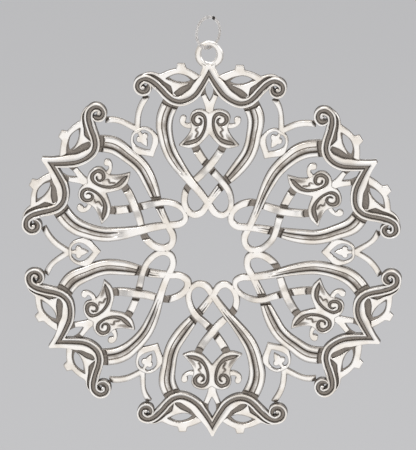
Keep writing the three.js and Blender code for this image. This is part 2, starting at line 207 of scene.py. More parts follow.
class Bench:
    """Operators for one piece at a time, on meshes in millimetres."""

    ONE_POINT = 0.01       # points of an outline that are closer than this are one
    EDGE_STEPS = 3         # faces across the rounded edge of a plate
    TOUCHING = 1e-3        # points that are closer than this are merged
    ON_PLANE = 1e-4        # distance up to which a point lies on a plane
    DOME_SIDES = 28
    DOME_RINGS = 16
    DOME_HEIGHT = 0.8      # height of a dome, in radii
    DOME_POLISH = 0.35     # how far down from its top a dome is polished, in radii
    EVENING = 0.5          # share of its way to its neighbours that a point goes in a round of softening
    SIDE_ROUNDS = 2        # rounds that even out the outline too
    FACE_ROUNDS = 9        # rounds on the heights alone, on a piece with worn edges
    SHORT_ROUNDS = 5       # and on one that has kept them

    @staticmethod
    def take(piece: Piece) -> None:
        """Makes a piece the only one selected, and active."""
        bpy.ops.object.select_all(action="DESELECT")
        piece.select_set(True)
        bpy.context.view_layer.objects.active = piece

    @staticmethod
    @contextmanager
    def editing(piece: Piece, keep: bool = False) -> Iterator[None]:
        """Edit mode on one piece, whose faces point outwards and are deselected at the end.

        Args:
            piece: The piece to edit.
            keep: Whether the vertices selected in code stay the only ones selected, instead of all.

        Yields:
            Nothing; object mode returns at the end.
        """
        Bench.take(piece)
        bpy.ops.object.mode_set(mode="EDIT")
        if keep:
            bpy.ops.mesh.select_mode(type="VERT")
        else:
            bpy.ops.mesh.select_all(action="SELECT")
        yield
        bpy.ops.mesh.select_all(action="SELECT")
        bpy.ops.mesh.normals_make_consistent(inside=False)
        bpy.ops.mesh.select_all(action="DESELECT")
        bpy.ops.object.mode_set(mode="OBJECT")

    @staticmethod
    def extrude_to(height: float) -> None:
        """Extrudes what is selected to a flat end at a height."""
        bpy.ops.mesh.extrude_region_move(TRANSFORM_OT_translate={"value": (0, 0, height - 1)})
        bpy.ops.transform.resize(value=(1, 1, 0), center_override=(0, 0, height))

    @staticmethod
    def name(name: str) -> Piece:
        """Names the primitive just added and returns it."""
        piece = bpy.context.object
        piece.name = name
        piece.data.name = name
        return piece

    @staticmethod
    def apply(piece: Piece, kind: str, **settings: object) -> Piece:
        """Adds a modifier to a piece and applies it.

        Args:
            piece: The piece to change.
            kind: The modifier's type.
            settings: Its settings.

        Returns:
            The piece.
        """
        Bench.take(piece)
        modifier = piece.modifiers.new(kind.title(), kind)
        for key, value in settings.items():
            setattr(modifier, key, value)
        bpy.ops.object.modifier_apply(modifier=modifier.name)
        return piece

    @staticmethod
    def stamp(piece: Piece, crests: float | Sequence[float]) -> Piece:
        """Notes the height of the polished surface.

        Args:
            piece: The piece.
            crests: One height for all of it, or one for each point.

        Returns:
            The piece.
        """
        attributes = piece.data.attributes
        attribute = attributes.get(CREST) or attributes.new(CREST, "FLOAT", "POINT")
        attribute.data.foreach_set("value", np.full(len(piece.data.vertices), crests, dtype=np.float32))
        return piece

    @staticmethod
    def strip(name: str, stations: Sequence[Knot], section: Section, end: float = 0.0,
              dips: Sequence[Dip] = ()) -> Piece:
        """Lays a grid along a line, shaped by a section at each station, and extrudes it to a flat end.

        Args:
            name: Name of the piece.
            stations: Stations (x, y, width, top ...) along the line, in millimetres.
            section: Gives (across, height) points at a station, from the left side to the right.
            end: Height of the flat side, 0 for the back of the casting.
            dips: The places where the piece sinks under another.

        Returns:
            The closed piece.
        """
        sections = [section(station) for station in stations]
        rows, columns = len(stations), len(sections[0])
        bpy.ops.mesh.primitive_grid_add(x_subdivisions=columns - 1, y_subdivisions=rows - 1, size=1)
        piece = Bench.name(name)
        crests = []
        for row, station in enumerate(stations):
            before = stations[max(row - 1, 0)]
            after = stations[min(row + 1, rows - 1)]
            heading = Vector((after[0] - before[0], after[1] - before[1])).normalized()
            for column, (across, height) in enumerate(sections[row]):
                x = station[0] + heading.y * across
                y = station[1] - heading.x * across
                # A sunken stretch keeps its crest, so the material paints it with patina and a line of
                # painted shade on its slope
                sunk = max((dip.depth(x, y) for dip in dips), default=0.0) if height > FOOT else 0.0
                height = min(height, station[3] - sunk) if sunk > 0 else height
                piece.data.vertices[row * columns + column].co = (x, y, height)
            crests += [station[3]] * columns
        Bench.stamp(piece, crests)
        with Bench.editing(piece):
            Bench.extrude_to(end)
        return piece

    @staticmethod
    def plate(name: str, runs: Runs, top: float, rounding: float, bottom: float = 0.0) -> Piece:
        """Raises a plate from a circle that is pulled to an outline.

        Args:
            name: Name of the piece.
            runs: Smooth runs of the closed outline, in squares, with a corner where two meet.
            top: Height of its face.
            rounding: Width of its rounded upper edge, 0 for a sharp one.
            bottom: Height of its underside.

        Returns:
            The closed piece.
        """
        outline = []
        for run in runs:
            outline += [station[:2] for station in Line(run).stations()]
        outline = [point for i, point in enumerate(outline)
                   if math.dist(point, outline[i - 1]) > Bench.ONE_POINT]
        bpy.ops.mesh.primitive_circle_add(vertices=len(outline), radius=1)
        piece = Bench.name(name)
        for vertex, (x, y) in zip(piece.data.vertices, outline):
            vertex.co = (x, y, bottom)
        with Bench.editing(piece):
            bpy.ops.mesh.edge_face_add()
            bpy.ops.mesh.extrude_region_move(TRANSFORM_OT_translate={"value": (0, 0, top - bottom)})
            if rounding:
                bpy.ops.mesh.bevel(offset=rounding, segments=Bench.EDGE_STEPS, affect="EDGES",
                                   clamp_overlap=False)
        return Bench.stamp(piece, top)

    @staticmethod
    def punch(runs: Runs, top: float, bottom: float = -CLEAR) -> Piece:
        """Cutter with straight walls, through a plate's face at top and down to a floor at bottom."""
        return Bench.plate("punch", runs, top + CLEAR, 0.0, bottom)

    @staticmethod
    def dome(name: str, x: float, y: float, radius: float, top: float) -> Piece:
        """Round boss with a domed top, standing on the back.

        Args:
            name: Name of the piece.
            x: Centre in squares.
            y: Centre in squares.
            radius: Radius in millimetres.
            top: Height of its highest point.

        Returns:
            The closed piece.
        """
        shoulder = top - Bench.DOME_HEIGHT * radius
        bpy.ops.mesh.primitive_uv_sphere_add(segments=Bench.DOME_SIDES, ring_count=Bench.DOME_RINGS,
                                             radius=radius)
        piece = Bench.name(name)
        with Bench.editing(piece):
            bpy.ops.mesh.bisect(plane_co=(0, 0, 0), plane_no=(0, 0, 1), clear_inner=True,
                                threshold=Bench.ON_PLANE)
            bpy.ops.mesh.select_all(action="SELECT")
            bpy.ops.transform.resize(value=(1, 1, Bench.DOME_HEIGHT), center_override=(0, 0, 0))
            bpy.ops.transform.translate(value=(x * SQUARE, y * SQUARE, shoulder))
        for vertex in piece.data.vertices:
            vertex.select = vertex.co.z < shoulder + Bench.ON_PLANE
        with Bench.editing(piece, keep=True):
            Bench.extrude_to(0.0)
            bpy.ops.mesh.edge_face_add()
        return Bench.stamp(piece, top - Bench.DOME_POLISH * radius)

    @staticmethod
    def lift_back(piece: Piece, level: Level) -> Piece:
        """Lifts a piece's flat back to its level, so that backs that run into each other share no plane."""
        places = Bench.read(piece)
        places[:, 2] += np.where(places[:, 2] < FOOT / 2, level * LAYER, 0.0)
        return Bench.write(piece, places)

    @staticmethod
    def read(piece: Piece) -> np.ndarray:
        """Rows (x, y, z) of a piece's points."""
        places = np.empty(3 * len(piece.data.vertices), dtype=np.float32)
        piece.data.vertices.foreach_get("co", places)
        return places.reshape(-1, 3)

    @staticmethod
    def write(piece: Piece, places: np.ndarray) -> Piece:
        """Moves a piece's points to rows (x, y, z)."""
        piece.data.vertices.foreach_set("co", places.ravel())
        return piece

    @staticmethod
    def soften(piece: Piece, top: float, level: Level, rounds: int = FACE_ROUNDS) -> Piece:
        """Wears a piece's face round towards its edges, as casting and polishing do.

        Args:
            piece: The piece, closed.
            top: Height of its polished face.
            level: Layer of its back.
            rounds: How often the heights are evened out.

        Returns:
            The piece, as even small quads.
        """
        Bench.apply(piece, "REMESH", mode="VOXEL", voxel_size=VOXEL)
        Bench.apply(piece, "SMOOTH", factor=Bench.EVENING, iterations=Bench.SIDE_ROUNDS)
        Bench.apply(piece, "SMOOTH", factor=Bench.EVENING, iterations=rounds, use_x=False, use_y=False)
        return Bench.lift_back(Bench.stamp(piece, top), level)

    @staticmethod
    def carve(piece: Piece, *cutters: Piece) -> Piece:
        """Cuts pieces out of another and removes them."""
        for cutter in cutters:
            Bench.apply(piece, "BOOLEAN", operation="DIFFERENCE", solver="MANIFOLD", object=cutter)
            bpy.data.objects.remove(cutter)
        return piece

    @staticmethod
    def mirror(piece: Piece, across_middle: bool = False) -> Piece:
        """Adds the image on the other side of the arm; a half that runs over the middle is cut there."""
        cut = (across_middle, False, False)
        return Bench.apply(piece, "MIRROR", use_bisect_axis=cut, use_bisect_flip_axis=cut,
                           merge_threshold=Bench.TOUCHING)

    @staticmethod
    def join(name: str, pieces: Sequence[Piece]) -> Piece:
        """Joins pieces that are cast as one into one object."""
        bpy.ops.object.select_all(action="DESELECT")
        for piece in pieces:
            piece.select_set(True)
        bpy.context.view_layer.objects.active = pieces[0]
        bpy.ops.object.join()
        return Bench.name(name)

    @staticmethod
    def finish(piece: Piece) -> Piece:
        """Shades a piece smooth, apart from its sharp edges."""
        Bench.take(piece)
        bpy.ops.object.shade_smooth_by_angle(angle=math.radians(SHADING_ANGLE))
        return piece


class Sections:
    """Cross sections of straps, as (across, height) points from one side to the other."""

    # Share of the width, drop of the rounded shoulder, share of the fine groove, share of the deep groove
    BAND = (
        (0.015, 0.42, 0.00, 0.00),
        (0.04, 0.15, 0.00, 0.00),
        (0.08, 0.04, 0.00, 0.00),
        (0.15, 0.00, 0.00, 0.00),
        (0.33, 0.00, 0.10, 0.00),
        (0.355, 0.00, 0.75, 0.00),
        (0.375, 0.00, 1.00, 0.00),
        (0.395, 0.00, 0.75, 0.00),
        (0.42, 0.00, 0.25, 0.07),
        (0.52, 0.00, 0.20, 0.12),
        (0.61, 0.00, 0.10, 0.25),
        (0.635, 0.00, 0.00, 0.85),
        (0.665, 0.00, 0.00, 1.00),
        (0.695, 0.00, 0.00, 0.85),
        (0.72, 0.00, 0.00, 0.12),
        (0.78, 0.00, 0.00, 0.00),
        (0.90, 0.00, 0.00, 0.00),
        (0.94, 0.04, 0.00, 0.00),
        (0.97, 0.15, 0.00, 0.00),
        (0.985, 0.42, 0.00, 0.00),
    )
    FINE_GROOVE = 0.27     # depths in millimetres
    DEEP_GROOVE = 0.70
    FLOOR_SWELL = 0.2      # rise of the channel's floor in its middle, as a share of its depth
    FULL_RIM = 0.46        # width below which the rounding of a rim narrows with it

    @classmethod
    def band(cls, outer_first: bool) -> Section:
        """Band with three ridges that a fine and a deep groove part, plain where the grooves have faded.

        Args:
            outer_first: Whether the wide outer ridge is on the left of the line.

        Returns:
            A section for stations (x, y, width, top, share of the grooves).
        """
        def section(station: Knot) -> Profile:
            """Section at one station."""
            _, _, width, top, grooves = station
            fine = cls.FINE_GROOVE * grooves
            deep = cls.DEEP_GROOVE * grooves
            points = [(share, top - drop - fine * line - deep * channel)
                      for share, drop, line, channel in cls.BAND]
            points = [(0.0, FOOT), *points, (1.0, FOOT)]
            side = 1 if outer_first else -1
            points = [(side * (share - 0.5) * width, height) for share, height in points]
            return points if outer_first else points[::-1]
        return section

    @staticmethod
    def rounded(station: Knot) -> Profile:
        """Narrow strap with a crowned top, for stations (x, y, width, top)."""
        _, _, width, top = station
        half = width / 2
        crown = ((0.96, 0.42), (0.90, 0.18), (0.78, 0.06), (0.50, 0.015))
        left = [(-half, FOOT), *[(-half * share, top - drop) for share, drop in crown]]
        return [*left, (0.0, top), *[(-across, height) for across, height in reversed(left)]]

    @staticmethod
    def channel(station: Knot) -> Profile:
        """Bracket: a channel with a swelling floor between an outer and an inner rim.

        Args:
            station: (x, y, outer rim, top, channel, inner rim, depth, lift). The line runs along the
                middle of the channel with the outer rim on its right. lift is the share of its height
                that the inner rim has, 0 where it is only floor.

        Returns:
            The section, from the inner side to the outer.
        """
        _, _, outer, top, channel, inner, depth, lift = station
        half = channel / 2
        swell = Sections.FLOOR_SWELL * depth

        def rim(width: float, rise: float) -> Profile:
            """One rim, from the foot of its outer wall to the floor of the channel."""
            narrow = min(1.0, width / Sections.FULL_RIM)
            crest = top - depth + rise
            outer_wall = [(half + width, FOOT), (half + width - 0.03 * narrow, crest - 0.45)]
            outer_edge = [(half + width - 0.06 * narrow, crest - 0.13),
                          (half + width - 0.14 * narrow, crest - 0.02)]
            inner_edge = [(half + 0.12 * narrow, crest), (half + 0.03 * narrow, crest - 0.06 * rise)]
            inner_wall = [(half - 0.03, crest - 0.45 * rise), (half * 0.88, crest - rise)]
            floor = [(half * 0.76, crest - rise), (half * 0.58, crest - rise + swell)]
            return [*outer_wall, *outer_edge, *inner_edge, *inner_wall, *floor]
        left = [(-across, height) for across, height in rim(inner, depth * lift)]
        return [*left, (0.0, top - depth + swell), *reversed(rim(outer, depth))]

    @staticmethod
    def cutter(station: Knot) -> Profile:
        """Groove with a round bottom, for stations (x, y, width, top of the cut, bottom)."""
        _, _, width, top, bottom = station
        half = width / 2
        walls = ((1.0, 0.0), (0.75, 0.6), (0.35, 0.95))
        left = [(-half * share, mix(top, bottom, deep)) for share, deep in walls]
        return [*left, (0.0, bottom), *[(-across, height) for across, height in reversed(left)]]


@dataclass
class Bracket:
    """Scrolled bracket over the head of an arm: an ogee arch from volute to volute, its point outward."""

    top: float = 2.3
    depth: float = 0.80        # of its channel
    curl_width: float = 0.56
    curl_step: float = 0.15
    ball_radius: float = 0.44
    # x, y in squares, then outer rim, channel and inner rim in millimetres, and the inner rim's lift
    line: Sequence[Knot] = (
        (2.1, 96.0, 1.02, 0.80, 0.52, 1.0),
        (0.0, 91.8, 1.04, 0.82, 0.52, 1.0),
        (-2.1, 88.1, 1.18, 0.86, 0.52, 1.0),
        (-4.4, 84.4, 1.42, 0.92, 0.54, 1.0),
        (-6.9, 81.0, 1.40, 0.94, 0.62, 1.0),
        (-10.3, 78.5, 1.36, 0.96, 0.64, 1.0),
        (-14.4, 77.4, 0.90, 0.98, 0.66, 1.0),
        (-18.4, 78.4, 0.52, 1.00, 0.66, 1.0),
        (-21.6, 81.0, 0.52, 1.02, 0.62, 1.0),
        (-23.0, 82.6, 0.52, 1.06, 0.56, 1.0),
        (-25.4, 85.2, 0.50, 1.04, 0.52, 1.0),
        (-28.1, 87.6, 0.50, 1.06, 0.50, 0.0),
        (-31.4, 89.0, 0.54, 1.02, 0.74, 0.0),
        (-34.7, 88.0, 0.56, 0.90, 0.90, 0.0),
        (-35.8, 85.4, 0.56, 0.84, 0.95, 0.0),
        (-34.8, 83.2, 0.56, 0.80, 0.90, 0.0),
        (-32.8, 82.4, 0.56, 0.80, 0.80, 0.0),
        (-31.0, 83.0, 0.52, 0.80, 0.60, 0.0),
        (-30.2, 84.6, 0.46, 0.70, 0.30, 0.0),
        (-30.3, 86.0, 0.30, 0.40, 0.10, 0.0),
    )
    # x, y in squares, then top in millimetres
    curl: Sequence[Knot] = (
        (-22.6, 79.4, 2.05), (-25.0, 82.0, 2.2), (-27.2, 84.3, 2.3), (-29.4, 86.5, 2.3), (-31.8, 87.5, 2.3),
        (-33.9, 86.3, 2.3), (-34.0, 84.6, 2.3), (-32.6, 84.1, 2.2),
    )
    ball: tuple[float, float] = (-32.9, 84.6)

    def build(self) -> Piece:
        """Builds the left half up to its volute and mirrors it.

        Returns:
            The bracket on the bench.
        """
        knots = [(x, y, outer, self.top, channel, inner, self.depth, lift)
                 for x, y, outer, channel, inner, lift in self.line]
        arch = Bench.strip("arch", Line(knots, FINE_STEP).stations(), Sections.channel)
        arch = Bench.mirror(arch, across_middle=True)
        knots = [(x, y, self.curl_width, top) for x, y, top in self.curl]
        curl = Bench.strip("curl", Line(knots, self.curl_step).stations(), Sections.rounded)
        ball = Bench.dome("ball", *self.ball, self.ball_radius, self.top)
        scroll = [Bench.lift_back(curl, Level.CURL), Bench.lift_back(ball, Level.BALL)]
        volute = Bench.mirror(Bench.join("volute", scroll))
        return Bench.join("bracket", [Bench.lift_back(arch, Level.ARCH), volute])


@dataclass
class Leaves:
    """Leaf that backs each half of the bracket, pierced with an almond and tipped with a peg.

    It is recessed on both sides of the rib that runs to the bracket, and along the almond.
    """

    top: float = 1.5
    floor: float = 0.95
    rounding: float = 0.12
    outline: Runs = (
        ((-34.8, 90.2), (-31.6, 91.8), (-28.2, 92.0), (-24.7, 90.9)),
        ((-24.7, 90.9), (-20.3, 92.9), (-16.6, 93.8)),
        ((-15.8, 96.4), (-12.2, 96.4)),
        ((-11.4, 93.9), (-8.4, 92.4), (-5.0, 90.2), (-2.4, 87.8)),
        ((-2.4, 87.8), (-4.4, 84.4), (-6.9, 81.0), (-10.3, 78.5), (-14.4, 77.4), (-18.4, 78.4),
         (-21.6, 81.0), (-24.5, 84.3), (-27.8, 87.4), (-31.4, 89.2), (-34.8, 90.6)),
    )
    almond: Runs = (
        ((-20.4, 89.2), (-17.6, 87.6), (-14.6, 86.9), (-11.8, 86.8), (-9.2, 87.6)),
        ((-9.2, 87.6), (-11.4, 89.8), (-14.6, 90.9), (-17.6, 90.6), (-20.4, 89.2)),
    )
    almond_recess: Runs = (
        ((-21.9, 89.0), (-17.6, 87.3), (-14.6, 86.5), (-11.0, 86.4), (-6.6, 87.2)),
        ((-6.6, 87.2), (-10.4, 90.0), (-14.6, 91.3), (-17.8, 90.9), (-21.9, 89.0)),
    )
    inner_recess: Runs = (
        ((-5.2, 88.9), (-8.0, 87.6), (-11.5, 85.6), (-15.0, 83.9), (-17.8, 81.4)),
        ((-17.8, 81.4), (-14.4, 78.6), (-10.3, 79.6), (-6.9, 82.4), (-5.2, 88.9)),
    )
    outer_recess: Runs = (
        ((-31.4, 90.9), (-28.6, 91.2), (-25.4, 89.6), (-22.4, 87.2)),
        ((-22.4, 87.2), (-19.3, 85.2)),
        ((-19.3, 85.2), (-18.6, 82.3), (-18.4, 79.6)),
        ((-18.4, 79.6), (-20.0, 80.5), (-24.0, 84.6), (-28.0, 88.2), (-31.4, 90.9)),
    )

    def build(self) -> Piece:
        """Cuts the left leaf and mirrors it.

        Returns:
            Both leaves on the bench.
        """
        leaf = Bench.plate("leaves", self.outline, self.top, self.rounding)
        recesses = [Bench.punch(runs, self.top, self.floor)
                    for runs in (self.inner_recess, self.outer_recess, self.almond_recess)]
        Bench.carve(leaf, *recesses, Bench.punch(self.almond, self.top))
        return Bench.mirror(Bench.soften(leaf, self.top, Level.LEAVES))


@dataclass
class Straps:
    """The two straps of an arm.

    They come down from the bracket as grooved frame bands, cross, loop at the middle of the ornament and
    climb to the palmettes.
    """

    # x, y in squares, then width and top in millimetres
    left: Sequence[Knot] = (
        (-17.5, 79.0, 3.95, 1.65), (-20.2, 74.5, 3.95, 1.65), (-22.2, 69.5, 3.95, 1.65),
        (-22.8, 64.5, 3.85, 1.65), (-22.1, 59.5, 3.50, 1.65), (-20.9, 54.5, 3.35, 1.65),
        (-18.9, 49.5, 3.20, 1.65), (-15.9, 44.7, 2.95, 1.70), (-12.4, 40.0, 2.45, 1.95),
        (-8.4, 35.2, 1.98, 2.00), (-4.2, 30.2, 1.75, 1.75), (-0.2, 24.8, 1.65, 1.5),
        (3.2, 19.8, 1.65, 1.5), (7.2, 18.2, 1.45, 1.5), (10.6, 20.2, 1.40, 1.5),
        (11.9, 23.9, 1.40, 1.5), (11.6, 27.9, 1.42, 1.75), (10.2, 31.8, 1.45, 2.0),
        (7.5, 35.5, 1.50, 2.0), (3.6, 39.4, 1.65, 1.6), (0.0, 43.2, 1.80, 1.5),
        (-3.2, 47.4, 1.80, 1.5), (-5.6, 51.0, 1.85, 1.5), (-7.6, 54.8, 1.85, 1.5),
    )
    right: Sequence[Knot] = (
        (17.5, 79.0, 3.95, 1.65), (20.2, 74.5, 3.95, 1.65), (22.2, 69.5, 3.95, 1.65),
        (22.8, 64.5, 3.85, 1.65), (22.3, 59.5, 3.55, 1.65), (21.4, 54.5, 3.50, 1.65),
        (19.6, 49.7, 3.45, 1.65), (16.5, 44.9, 3.40, 1.65), (13.0, 40.4, 3.00, 1.60),
        (9.3, 36.2, 2.30, 1.5), (5.0, 31.2, 1.85, 1.5), (0.2, 24.8, 1.65, 1.5),
        (-3.2, 19.8, 1.65, 1.5), (-7.2, 18.2, 1.65, 1.5), (-10.6, 20.2, 1.65, 1.5),
        (-12.2, 24.2, 1.65, 1.5), (-12.0, 28.4, 1.65, 1.5), (-10.6, 32.2, 1.65, 1.5),
        (-7.4, 35.6, 1.65, 1.5), (-3.6, 39.2, 1.80, 1.6), (0.0, 43.2, 1.80, 2.0),
        (3.0, 47.0, 1.85, 1.85), (5.6, 50.8, 1.85, 1.5), (7.6, 54.8, 1.85, 1.5),
    )
    bracket_dip: Dip = Dip(-13.5, 90.0, 7.75, 0.55)
    left_dips: tuple[Dip, ...] = (
        Dip(0.0, 43.2, 1.55, 0.62, heading=50), Dip(-7.6, 54.8, 1.75, 0.55),
    )
    right_dips: tuple[Dip, ...] = (
        Dip(9.0, 33.6, 1.40, 0.62, heading=126), Dip(-9.3, 34.0, 1.60, 0.62, heading=-50),
        Dip(7.6, 54.8, 1.75, 0.55),
    )
    # How far out along the arm the grooves have faded, in squares, for the left strap of each arm
    left_groove_ends: tuple[float, ...] = (38.0, 42.0, 34.0, 30.0, 30.0, 29.0)
    right_groove_end: float = 27.0
    groove_fade: float = 8.0

    def lay(self, name: str, knots: Sequence[Knot], dips: Sequence[Dip], groove_end: float) -> Piece:
        """Lays one strap.

        Args:
            name: Name of the strap.
            knots: Its line, with widths and tops.
            dips: The places where it passes under.
            groove_end: How far out the grooves have faded.

        Returns:
            The strap on the bench.
        """
        side = math.copysign(1, knots[0][0])
        stations = []
        grooved = 1.0
        fade = (groove_end, groove_end + self.groove_fade)
        for x, y, width, top in Line(knots, FINE_STEP).stations():
            grooved = min(grooved, smooth(fade, y / SQUARE))
            stations.append((x, y, width, top, grooved))
        under_bracket = replace(self.bracket_dip, x=side * abs(self.bracket_dip.x))
        return Bench.strip(name, stations, Sections.band(outer_first=side > 0), dips=(under_bracket, *dips))

    def build(self, arm: int) -> tuple[Piece, Piece]:
        """Lays both straps of an arm.

        Args:
            arm: Number of the arm, counter-clockwise from the top.

        Returns:
            The left and the right strap on the bench.
        """
        left = self.lay("left_strap", self.left, self.left_dips, self.left_groove_ends[arm])
        right = self.lay("right_strap", self.right, self.right_dips, self.right_groove_end)
        return left, Bench.lift_back(right, Level.RIGHT_STRAP)


@dataclass
class Palmettes:
    """Two curled half-leaves back to back, each with a spiral in its head and a tendril at its side."""

    top: float = 1.75
    rounding: float = 0.14
    dulling: float = 0.07        # height by which the crest stands above the carved leaf's face, which comes out a little darker for it
    tendril_top: float = 1.55
    groove_top: float = 1.9      # of what cuts the grooves
    outline: Runs = (
        ((1.2, 71.0), (0.0, 71.2), (-2.2, 72.5), (-5.2, 73.0), (-8.2, 72.0), (-9.8, 69.3), (-9.5, 66.2)),
        ((-9.5, 66.2), (-9.4, 62.8), (-11.4, 58.9), (-15.3, 54.6)),
        ((-15.3, 54.6), (-10.2, 53.2), (-5.5, 54.5), (-2.5, 57.3), (0.0, 60.2), (1.2, 61.6)),
    )
    # The spiral, the vein and the hollow at the tip: x, y in squares, then width and bottom in millimetres
    grooves: Runs = (
        ((-13.9, 54.9, 0.10, 1.65), (-11.5, 55.7, 0.95, 1.22), (-8.8, 56.3, 1.25, 1.22),
         (-6.0, 57.5, 1.10, 1.22), (-3.8, 59.9, 0.85, 1.22), (-2.4, 63.2, 0.72, 1.22),
         (-2.0, 66.6, 0.70, 1.22), (-2.7, 69.5, 0.90, 1.22), (-5.0, 71.0, 0.98, 1.22),
         (-7.6, 69.9, 1.00, 1.22), (-8.2, 67.4, 0.96, 1.22), (-6.8, 65.5, 0.88, 1.22),
         (-5.0, 65.3, 0.74, 1.22), (-4.0, 66.6, 0.56, 1.22), (-4.3, 68.0, 0.50, 1.28),
         (-5.4, 68.8, 0.34, 1.45)),
        ((-5.4, 64.2, 0.25, 1.60), (-6.8, 62.6, 0.45, 1.45), (-5.7, 61.4, 0.45, 1.45),
         (-6.3, 60.0, 0.50, 1.45), (-6.9, 58.6, 0.55, 1.45)),
        ((-8.4, 61.6, 0.30, 1.72), (-9.2, 59.8, 1.10, 1.66), (-10.2, 58.4, 1.30, 1.63),
         (-11.4, 57.2, 1.10, 1.62), (-12.8, 56.2, 0.40, 1.68)),
    )
    tendril: Runs = (
        ((-8.6, 63.5), (-10.6, 63.3), (-12.9, 64.1), (-14.6, 65.7), (-15.1, 67.7), (-14.3, 69.5),
         (-12.8, 69.9), (-11.6, 68.9), (-11.8, 67.3)),
        ((-11.8, 67.3), (-12.3, 66.4), (-11.5, 65.8), (-10.4, 65.7), (-8.6, 66.2)),
    )

    def build(self) -> Piece:
        """Carves the left palmette and mirrors it.

        Returns:
            The pair on the bench.
        """
        leaf = Bench.plate("palmettes", self.outline, self.top, self.rounding)
        Bench.carve(leaf, *[self.cutter(groove) for groove in self.grooves])
        Bench.mirror(leaf, across_middle=True)
        Bench.soften(leaf, self.top + self.dulling, Level.PALMETTES)
        tendril = Bench.plate("tendrils", self.tendril, self.tendril_top, self.rounding)
        Bench.soften(tendril, self.tendril_top, Level.TENDRILS, Bench.SHORT_ROUNDS)
        return Bench.join("palmettes", [leaf, Bench.mirror(tendril)])

    def cutter(self, groove: Sequence[Knot]) -> Piece:
        """Lays the cutter of one groove."""
        knots = [(x, y, width, self.groove_top, bottom) for x, y, width, bottom in groove]
        stations = Line(knots, FINE_STEP).stations()
        return Bench.strip("groove", stations, Sections.cutter, end=self.top + CLEAR)


@dataclass
class Stalk:
    """Forked stalk that holds the palmettes; its branches run on, lower, to the point of the bracket."""

    top: float = 1.45
    arch_top: float = 0.9
    rounding: float = 0.14
    fork: Runs = both_sides((
        ((-2.1, 70.0), (-2.1, 73.0), (-2.7, 75.6), (-4.3, 80.0)),
        ((-2.0, 80.8), (-1.1, 78.9), (0.0, 77.0)),
    ))
    arch: Runs = both_sides((
        ((0.0, 76.0), (-5.2, 80.8)),
        ((-5.2, 80.8), (-3.4, 84.4), (-1.2, 88.8), (0.0, 92.0)),
    ))
    gap: Runs = both_sides((
        ((0.0, 77.2), (-1.7, 81.0), (-1.9, 84.0), (-1.2, 87.0), (0.0, 89.0)),
    ))

    def build(self) -> Piece:
        """Raises the fork and the arch behind it.

        Returns:
            The stalk on the bench.
        """
        arch = Bench.plate("arch", self.arch, self.arch_top, self.rounding)
        Bench.carve(arch, Bench.punch(self.gap, self.top))
        fork = Bench.plate("stalk", self.fork, self.top, self.rounding)
        Bench.soften(fork, self.top, Level.STALK, Bench.SHORT_ROUNDS)
        Bench.soften(arch, self.top, Level.STALK_ARCH, Bench.SHORT_ROUNDS)
        return Bench.join("stalk", [fork, arch])


@dataclass
class Heart:
    """Heart between two arms, with a trefoil in its opening and the two links that carry it.

    It is drawn with the line between the arms upward.
    """

    top: float = 1.5
    rounding: float = 0.14
    trefoil_top: float = 1.35
    link_width: float = 1.4
    link_top: float = 1.4
    outline: Runs = both_sides((
        ((0.0, 55.9), (-3.0, 58.6), (-6.0, 61.0)),
        ((-6.0, 61.0), (-7.2, 63.8), (-6.8, 66.8), (-5.6, 69.9), (-3.3, 72.1), (0.0, 72.7)),
    ))
    opening: Runs = both_sides((
        ((0.0, 60.0), (2.6, 62.4), (4.4, 64.9), (4.8, 67.2), (4.0, 69.4), (2.2, 71.0), (0.0, 70.7)),
    ))
    trefoil: Runs = both_sides((
        ((-0.8, 71.6), (-0.9, 69.8), (-1.1, 68.9)),
        ((-1.1, 68.9), (-2.2, 69.0), (-3.2, 67.9), (-2.9, 66.6), (-1.8, 65.9)),
        ((-1.8, 65.9), (-1.3, 64.3), (0.0, 62.2)),
    ))
    link: Sequence[Knot] = ((0.4, 71.6), (-2.0, 75.6), (-4.8, 79.3), (-8.4, 82.3), (-13.0, 84.8))
    link_dips: tuple[Dip, ...] = (Dip(-14.4, 90.5, 3.0, 0.6),)

    def build(self) -> tuple[Piece, Piece]:
        """Cuts the heart and lays the links.

        Returns:
            The heart with its trefoil, and the pair of links, on the bench.
        """
        heart = Bench.plate("heart", self.outline, self.top, self.rounding)
        Bench.carve(heart, Bench.punch(self.opening, self.top))
        Bench.soften(heart, self.top, Level.HEART)
        trefoil = Bench.plate("trefoil", self.trefoil, self.trefoil_top, self.rounding)
        Bench.soften(trefoil, self.trefoil_top, Level.TREFOIL)
        stations = [(x, y, self.link_width, self.link_top) for x, y in Line(self.link).stations()]
        link = Bench.strip("links", stations, Sections.rounded, dips=self.link_dips)
        links = Bench.mirror(link, across_middle=True)
        return Bench.join("heart", [heart, trefoil]), Bench.lift_back(links, Level.LINKS)


